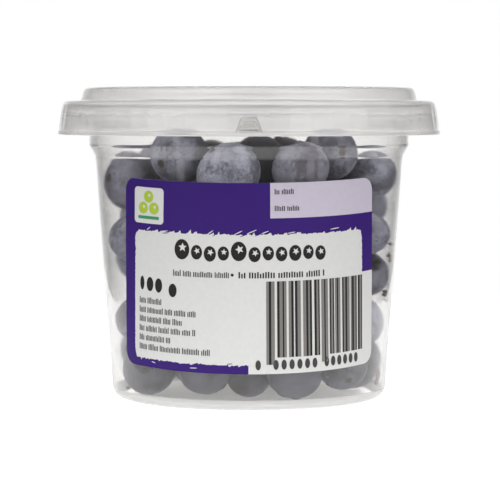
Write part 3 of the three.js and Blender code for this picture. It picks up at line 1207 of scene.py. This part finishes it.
def drawn_direction(draw):
    """A direction drawn evenly over the sphere."""
    while True:
        x = 2 * draw() - 1
        y = 2 * draw() - 1
        z = 2 * draw() - 1
        size = math.sqrt(x * x + y * y + z * z)
        if 0.1 < size < 1:
            return Vector((x / size, y / size, z / size))


class Heap:
    """The berries settling in the tub under their own weight, as the CAD heap does."""

    def __init__(self, tub, settings):
        slope = wall_slope(tub)
        gap = settings.clearance / MM
        wall = tub.wall / MM
        self.floor = (tub.base_recess + tub.wall) / MM + gap
        self.rise = millionths(math.tan(slope))
        at_foot = outer_radius_at(tub, 0) / MM
        self.at_foot = millionths(at_foot - wall / math.cos(slope) - gap)
        draw = seeded(settings.seed)
        self.berries = [self.window_berry(*row) for row in WINDOW_BERRIES]
        loose = settings.count - len(self.berries)
        for i in range(loose):
            self.berries.append(self.loose_berry(settings, draw, i, loose, gap))
        for i in range(FALLING_ROUNDS + EASING_ROUNDS):
            self.settle(i)
        for berry in self.berries:
            berry.axis = drawn_direction(draw)

    def room_at(self, z):
        return self.at_foot + self.rise * z

    def window_berry(self, angle, z, d, off):
        r = d / 2
        out = self.room_at(z) - r - off
        turn = math.radians(angle)
        x = millionths(out * math.sin(turn))
        y = millionths(-out * math.cos(turn))
        return Berry(x, y, z, r, HELD_FALLING)

    def loose_berry(self, settings, draw, i, loose, gap):
        least = settings.least / MM
        spread = settings.spread / MM
        r = (round(least, 6) + (round(spread, 6) * (draw() + draw())) / 2) / 2
        x = y = 1.0
        while x * x + y * y > 1:
            x = 2 * draw() - 1
            y = 2 * draw() - 1
        floor = round(self.floor - gap, 6)
        out = self.room_at(floor) - r
        return Berry(x * out, y * out, floor + 8 + (95 * i) / loose, r, 1)

    def settle(self, turn):
        berries = self.berries
        for berry in berries:
            if turn < FALLING_ROUNDS and berry.free == 1:
                berry.z -= FALL
            if turn == FALLING_ROUNDS and berry.free < 1:
                berry.free = HELD_EASING
        for i, a in enumerate(berries):
            for b in berries[i + 1 :]:
                self.part(a, b)
        for berry in berries:
            self.keep_inside(berry)

    @staticmethod
    def part(a, b):
        z = b.z - a.z
        reach = a.r + b.r
        if z > reach or -z > reach:
            return
        x = b.x - a.x
        y = b.y - a.y
        square = x * x + y * y + z * z
        if square >= reach * reach:
            return
        apart = math.sqrt(square)
        push = (reach - apart) / apart / (a.free + b.free)
        a.x -= x * push * a.free
        a.y -= y * push * a.free
        a.z -= z * push * a.free
        b.x += x * push * b.free
        b.y += y * push * b.free
        b.z += z * push * b.free

    def keep_inside(self, berry):
        out = math.sqrt(berry.x * berry.x + berry.y * berry.y)
        most = self.room_at(berry.z) - berry.r
        if out > most:
            berry.x *= most / out
            berry.y *= most / out
        drop = HEAP_DROP if berry.free == 1 else 0
        top = HEAP_TOP - (drop * berry.x * berry.x) / (HEAP_HALF * HEAP_HALF)
        berry.z = max(self.floor + berry.r, min(top - berry.r, berry.z))


BERRY_SEGMENTS = 40
BERRY_RINGS = 27
RING_CROWDING = 0.7  # rings lie closer together at the crown and at the scar


def shaped_berry(flatness, crown, lobe, phase):
    """A berry of unit radius with its crown towards +Z and its marks stored on its points."""
    deselect_all()
    bpy.ops.mesh.primitive_uv_sphere_add(segments=BERRY_SEGMENTS, ring_count=BERRY_RINGS, radius=1)
    berry = bpy.context.active_object
    marks = {"crown": [], "scar": [], "tone": [], "painted_shade": []}
    for vertex in berry.data.vertices:
        even = math.acos(max(-1.0, min(1.0, vertex.co.z))) / math.pi
        polar = math.pi * (even - RING_CROWDING * math.sin(2 * math.pi * even) / (2 * math.pi))
        turn = math.atan2(vertex.co.y, vertex.co.x)
        degrees = math.degrees(polar)
        point = abs(math.cos(2.5 * turn + phase)) ** 0.7
        pit = 0.17 * (1 - smoothstep(crown * 0.45, crown, degrees))
        crest = lobe * point * math.exp(-(((degrees - crown) / 3.6) ** 2))
        lumps = 0.018 * math.sin(2 * turn + 3 * phase) * math.sin(polar) ** 2
        dimple = 0.05 * smoothstep(168, 178, degrees)
        swell = 1 - pit + crest + lumps - dimple
        x, y = math.sin(polar) * math.cos(turn), math.sin(polar) * math.sin(turn)
        vertex.co = Vector((x, y, math.cos(polar) * flatness)) * swell
        dry = 1 - smoothstep(crown + 1.5, crown + 5.5, degrees)
        marks["crown"].append(dry * (0.6 + 0.4 * point))
        marks["scar"].append(smoothstep(169, 174, degrees))
        marks["tone"].append(0.0)
        marks["painted_shade"].append(0.0)
    for name, values in marks.items():
        attribute = berry.data.attributes.new(name, "FLOAT", "POINT")
        attribute.data.foreach_set("value", values)
    select_only(berry)
    bpy.ops.object.shade_smooth()
    return berry


CROWNS = ((21, 0.10, 0.0), (18, 0.13, 0.9), (24, 0.08, 1.7), (20, 0.05, 2.6))
GOLDEN_ANGLE = math.radians(137.5)
HIDDEN_DEPTH = 15.5  # a berry whose middle is deeper than this shows from nowhere
LID_SHADE = 8.5  # the heap's top lies in the lid's shade, as if it were this much deeper
FLOOR_SHADE = 5  # and the same at its bottom
SHADED = (3.5, 14)  # depths between which the skin passes into shade
BOTTOM_SHADE = 0.68  # painted shade on the lowest berries, darker towards the bottom
BOTTOM_SHADE_FADE = (7, 20)  # heights between which the painted shade on the lowest berries fades out


def depth_at(heap, x, y, z):
    """Distance in millimetres from the nearest side of the heap. Less light comes from the top."""
    drop = HEAP_DROP * (x * x) / (HEAP_HALF * HEAP_HALF)
    top = HEAP_TOP - drop + LID_SHADE
    return min(heap.room_at(z) - math.hypot(x, y), top - z, z + FLOOR_SHADE)


def shade_at(heap, x, y, z):
    """How dark the skin is painted: painted shade deep in the heap, and a little on the lowest
    berries.
    """
    bottom_shade = BOTTOM_SHADE * (1 - smoothstep(*BOTTOM_SHADE_FADE, z))
    return max(bottom_shade, smoothstep(*SHADED, depth_at(heap, x, y, z)))


class PUNNET_OT_berries(bpy.types.Operator):
    """Settle the berries in the tub and model each one that shows"""

    bl_idname = "punnet.berries"
    bl_label = "Berries"

    def execute(self, context):
        scene = context.scene
        settings = scene.punnet_berries
        heap = Heap(scene.punnet_tub, settings)
        draw = seeded(settings.seed + 5)
        masters = [shaped_berry(settings.flatness, *crown) for crown in CROWNS]
        copies = []
        for index, berry in enumerate(heap.berries):
            tone = draw()
            squeeze = 0.965 + 0.035 * draw()
            depth = depth_at(heap, berry.x, berry.y, berry.z)
            if depth > HIDDEN_DEPTH and berry.z < HEAP_TOP - HIDDEN_DEPTH:
                continue
            mesh = masters[index % len(masters)].data.copy()
            spin = Quaternion((0, 0, 1), GOLDEN_ANGLE * index)
            lay = Vector((0, 0, 1)).rotation_difference(berry.axis)
            size = berry.r * MM
            mesh.transform(
                Matrix.Translation(Vector((berry.x, berry.y, berry.z)) * MM)
                @ (lay @ spin).to_matrix().to_4x4()
                @ Matrix.Diagonal((size, size * squeeze, size, 1))
            )
            # Painted shade on each point: darker deep in the heap and on the lowest berries
            painted_shade = [shade_at(heap, *(vertex.co / MM)) for vertex in mesh.vertices]
            mesh.attributes["painted_shade"].data.foreach_set("value", painted_shade)
            mesh.attributes["tone"].data.foreach_set("value", [tone] * len(mesh.vertices))
            copy = bpy.data.objects.new("berry", mesh)
            scene.collection.objects.link(copy)
            copies.append(copy)
        for master in masters:
            bpy.data.objects.remove(master)
        berries = joined(copies, "berries_heap")
        berries.data.materials.append(berry_skin("berry skin", settings))
        placed(berries, "berries")
        return {"FINISHED"}


CORE_SHADE = 0.3
CORE_INSET = 12 * MM
CORE_LOW = 7 * MM
CORE_HIGH = 53 * MM


class PUNNET_OT_core(bpy.types.Operator):
    """Fill the middle of the heap, where only shade shows between the berries"""

    bl_idname = "punnet.core"
    bl_label = "Heap core"

    def execute(self, context):
        tub = context.scene.punnet_tub
        low = outer_radius_at(tub, CORE_LOW) - CORE_INSET
        high = outer_radius_at(tub, CORE_HIGH) - CORE_INSET
        outline = filleted(
            [
                (0, CORE_LOW, 0),
                (low, CORE_LOW, 4 * MM),
                (high, CORE_HIGH - 6 * MM, 5 * MM),
                (high - 8 * MM, CORE_HIGH, 4 * MM),
                (0, CORE_HIGH, 0),
            ],
            longest=2 * MM,
        )
        core = turned_shell("heap_core", outline, 96)
        for vertex in core.data.vertices:
            lump = noise.noise(vertex.co * 110) * 1.6 * MM
            vertex.co += vertex.co.normalized() * lump
        settings = context.scene.punnet_berries
        # Painted shade: the core is a dark piece in darkened berry skin, standing for the shade
        # between the berries
        core.data.materials.append(berry_skin("shaded skin", settings, CORE_SHADE))
        smooth_below(core, 60)
        placed(core)
        return {"FINISHED"}


def stalk(start, steps, radius):
    """A thin dry stalk, drawn out of a ring step by step and closed at both ends."""
    deselect_all()
    bpy.ops.mesh.primitive_circle_add(
        vertices=8, radius=radius, fill_type="NGON", location=start, rotation=(0.0, 0.3, 0.0)
    )
    bpy.ops.object.transform_apply(location=True, rotation=True, scale=True)
    piece = bpy.context.active_object
    bpy.ops.object.mode_set(mode="EDIT")
    bpy.ops.mesh.select_all(action="SELECT")
    centre = Vector(start)
    for step, taper in steps:
        move = Vector(step) * MM
        centre += move
        bpy.ops.mesh.extrude_region_move(TRANSFORM_OT_translate={"value": move})
        bpy.ops.transform.resize(value=(taper, taper, taper), center_override=centre)
    bpy.ops.mesh.select_all(action="SELECT")
    bpy.ops.mesh.normals_make_consistent(inside=False)
    bpy.ops.object.mode_set(mode="OBJECT")
    return piece


def on_wall(tub, angle, z, inset):
    """Point inside the clear wall at an angle from the front and a height."""
    r = outer_radius_at(tub, z * MM) - tub.wall - inset * MM
    turn = math.radians(angle)
    return Vector((r * math.sin(turn), -r * math.cos(turn), z * MM))


# Crumbs between the berries and the wall: degrees round from the front, height and size
CRUMBS = (
    (76, 24.6, 0.7),
    (74.5, 25.4, 0.5),
    (81, 33.5, 0.6),
    (83, 36.2, 0.5),
    (79, 23.2, 0.4),
    (34, 7.2, 0.4),
    (35, 5.6, 0.5),
    (-63, 3.4, 0.5),
    (140, 12, 0.5),
)


class PUNNET_OT_scraps(bpy.types.Operator):
    """Add the dry stalks and crumbs that lie between the berries and the wall"""

    bl_idname = "punnet.scraps"
    bl_label = "Scraps"

    def execute(self, context):
        tub = context.scene.punnet_tub
        bends = (
            ((0.25, 0.1, 0.9), 0.95),
            ((0.35, 0.1, 1.0), 0.9),
            ((0.1, -0.1, 1.0), 0.85),
            ((-0.2, 0.0, 0.9), 0.8),
            ((-0.3, 0.1, 0.6), 0.7),
        )
        pieces = [
            stalk(on_wall(tub, 73, 3.6, 1.0), bends, 0.42 * MM),
            stalk(on_wall(tub, 70, 4.2, 0.8), bends[1:], 0.3 * MM),
            stalk(on_wall(tub, 84, 22.4, 0.5), bends, 0.34 * MM),
            stalk(on_wall(tub, 80, 32.0, 0.5), bends[2:], 0.3 * MM),
            stalk(on_wall(tub, -150, 30, 0.6), bends, 0.36 * MM),
        ]
        for angle, z, size in CRUMBS:
            deselect_all()
            bpy.ops.mesh.primitive_ico_sphere_add(
                subdivisions=3, radius=size * MM, location=on_wall(tub, angle, z, 0.7)
            )
            crumb = bpy.context.active_object
            for vertex in crumb.data.vertices:
                vertex.co *= 1 + 0.5 * noise.noise(vertex.co / size / MM * 1.3)
                vertex.co.z *= 0.7
            pieces.append(crumb)
        scraps = joined(pieces, "scraps")
        scraps.data.materials.append(dry_stalk("dry stalk"))
        smooth_below(scraps, 50)
        placed(scraps)
        return {"FINISHED"}


# Stage


def soft_light(name, place, target, width, height, watts):
    """A large soft box turned to a point."""
    data = bpy.data.lights.new(name, "AREA")
    data.shape = "RECTANGLE"
    data.size, data.size_y = width, height
    data.energy = watts
    lamp = bpy.data.objects.new(name, data)
    lamp.location = place
    lamp.rotation_euler = (Vector(target) - Vector(place)).to_track_quat("-Z", "Y").to_euler()
    lamp.visible_camera = False
    bpy.context.scene.collection.objects.link(lamp)


# Soft boxes: name, place, the point that they face, width and height in metres, and watts
TUB_MIDDLE = (0, 0, 0.035)
WALL_MIDDLE = (0, 0, 0.055)
SOFT_BOXES = (
    ("overhead", (0.0, -0.35, 1.0), TUB_MIDDLE, 1.2, 1.2, 3.4),
    ("left front", (-0.95, -1.0, 0.75), TUB_MIDDLE, 1.5, 1.4, 8.3),
    ("right front", (1.0, -0.9, 0.65), TUB_MIDDLE, 1.4, 1.3, 7.5),
    ("left strip", (-0.149, -0.134, 0.055), WALL_MIDDLE, 0.02, 0.1, 0.006),
    ("right strip", (0.136, -0.146, 0.055), WALL_MIDDLE, 0.02, 0.1, 0.006),
)
BACKDROP_EDGE = (0.82, 0.994)  # how squarely a ray meets the backdrop as its light comes up


class PUNNET_OT_stage(bpy.types.Operator):
    """Set the lit table, the soft lights, the white backdrop and the camera"""

    bl_idname = "punnet.stage"
    bl_label = "Stage"

    def execute(self, context):
        scene = context.scene
        stage = scene.punnet_stage
        deselect_all()
        bpy.ops.mesh.primitive_plane_add(size=1)
        table = named(bpy.context.active_object, "lit_table")
        table.scale = (stage.table_width, stage.table_depth, 1)
        table.location.y = stage.table_depth / 2 - stage.table_front
        bpy.ops.object.transform_apply(location=True, rotation=False, scale=True)
        material = new_material("lit table")
        tree = material.node_tree
        grain = relief(tree, object_place(tree), *TABLE_GRAIN)
        base = mixed(tree, grain["Patches"], scaled(stage.table, FAINTER), stage.table)
        matte = principled(tree, {"Base Color": base, "Roughness": 0.7})
        seen = add_node(tree, "ShaderNodeLightPath").outputs["Is Camera Ray"]
        strength = between(tree, seen, stage.glow, stage.seen_glow)
        glow = add_node(tree, "ShaderNodeEmission", {"Strength": strength})
        lit = add_node(tree, "ShaderNodeAddShader", {0: matte, 1: glow.outputs[0]})
        table.data.materials.append(surfaced(material, lit.outputs[0]))
        deselect_all()

        world = bpy.data.worlds.new("studio")
        scene.world = world
        world.use_nodes = True
        tree = world.node_tree
        tree.nodes.clear()
        ray = add_node(tree, "ShaderNodeTexCoord").outputs["Generated"]
        way = add_node(tree, "ShaderNodeSeparateXYZ", {0: ray}).outputs
        level = add_node(
            tree,
            "ShaderNodeMapRange",
            {
                "Value": way["Y"],
                "From Min": BACKDROP_EDGE[0],
                "From Max": BACKDROP_EDGE[1],
                "To Min": stage.front,
                "To Max": stage.back,
            },
        )
        fall = between(tree, way["Z"], level.outputs["Result"], stage.zenith)
        around = add_node(tree, "ShaderNodeBackground", {"Strength": fall})
        behind = add_node(tree, "ShaderNodeBackground", {"Strength": stage.backdrop})
        for background in (around, behind):
            background.inputs["Color"].default_value = (1, 1, 1, 1)
        seen = add_node(tree, "ShaderNodeLightPath").outputs["Is Camera Ray"]
        shown = {0: seen, 1: around.outputs[0], 2: behind.outputs[0]}
        sky = add_node(tree, "ShaderNodeMixShader", shown)
        add_node(tree, "ShaderNodeOutputWorld", {"Surface": sky.outputs[0]})
        for box in SOFT_BOXES:
            soft_light(*box)

        data = bpy.data.cameras.new("camera")
        data.lens = stage.lens
        data.sensor_width = 36
        data.clip_start = 0.02
        data.clip_end = 60
        camera = bpy.data.objects.new("camera", data)
        camera.location = (stage.camera_side, -stage.camera_distance, stage.camera_height)
        camera.rotation_euler = (math.pi / 2 - stage.pitch, 0, 0)
        scene.collection.objects.link(camera)
        scene.camera = camera
        scene.view_settings.view_transform = "Standard"
        return {"FINISHED"}


OPERATORS = (
    PUNNET_OT_stage,
    PUNNET_OT_tub,
    PUNNET_OT_lid,
    PUNNET_OT_label,
    PUNNET_OT_print,
    PUNNET_OT_berries,
    PUNNET_OT_core,
    PUNNET_OT_scraps,
)


class PUNNET_PT_panel(bpy.types.Panel):
    """Lists the pieces of the punnet"""

    bl_idname = "PUNNET_PT_panel"
    bl_label = "Berry Punnet"
    bl_space_type = "VIEW_3D"
    bl_region_type = "UI"
    bl_category = "Punnet"

    def draw(self, context):
        for operator in OPERATORS:
            self.layout.operator(operator.bl_idname)


SETTINGS = {
    "punnet_tub": TubSettings,
    "punnet_lid": LidSettings,
    "punnet_label": LabelSettings,
    "punnet_berries": BerrySettings,
    "punnet_stage": StageSettings,
}


def register():
    for name, group in SETTINGS.items():
        bpy.utils.register_class(group)
        setattr(bpy.types.Scene, name, PointerProperty(type=group))
    for kind in (*OPERATORS, PUNNET_PT_panel):
        bpy.utils.register_class(kind)


def unregister():
    for kind in reversed((*OPERATORS, PUNNET_PT_panel)):
        bpy.utils.unregister_class(kind)
    for name, group in reversed(SETTINGS.items()):
        delattr(bpy.types.Scene, name)
        bpy.utils.unregister_class(group)


def main():
    register()
    bpy.ops.punnet.stage()
    bpy.ops.punnet.tub()
    bpy.ops.punnet.lid()
    bpy.ops.punnet.label()
    bpy.ops.punnet.print()
    bpy.ops.punnet.berries()
    bpy.ops.punnet.core()
    bpy.ops.punnet.scraps()


if __name__ == "__main__":
    main()
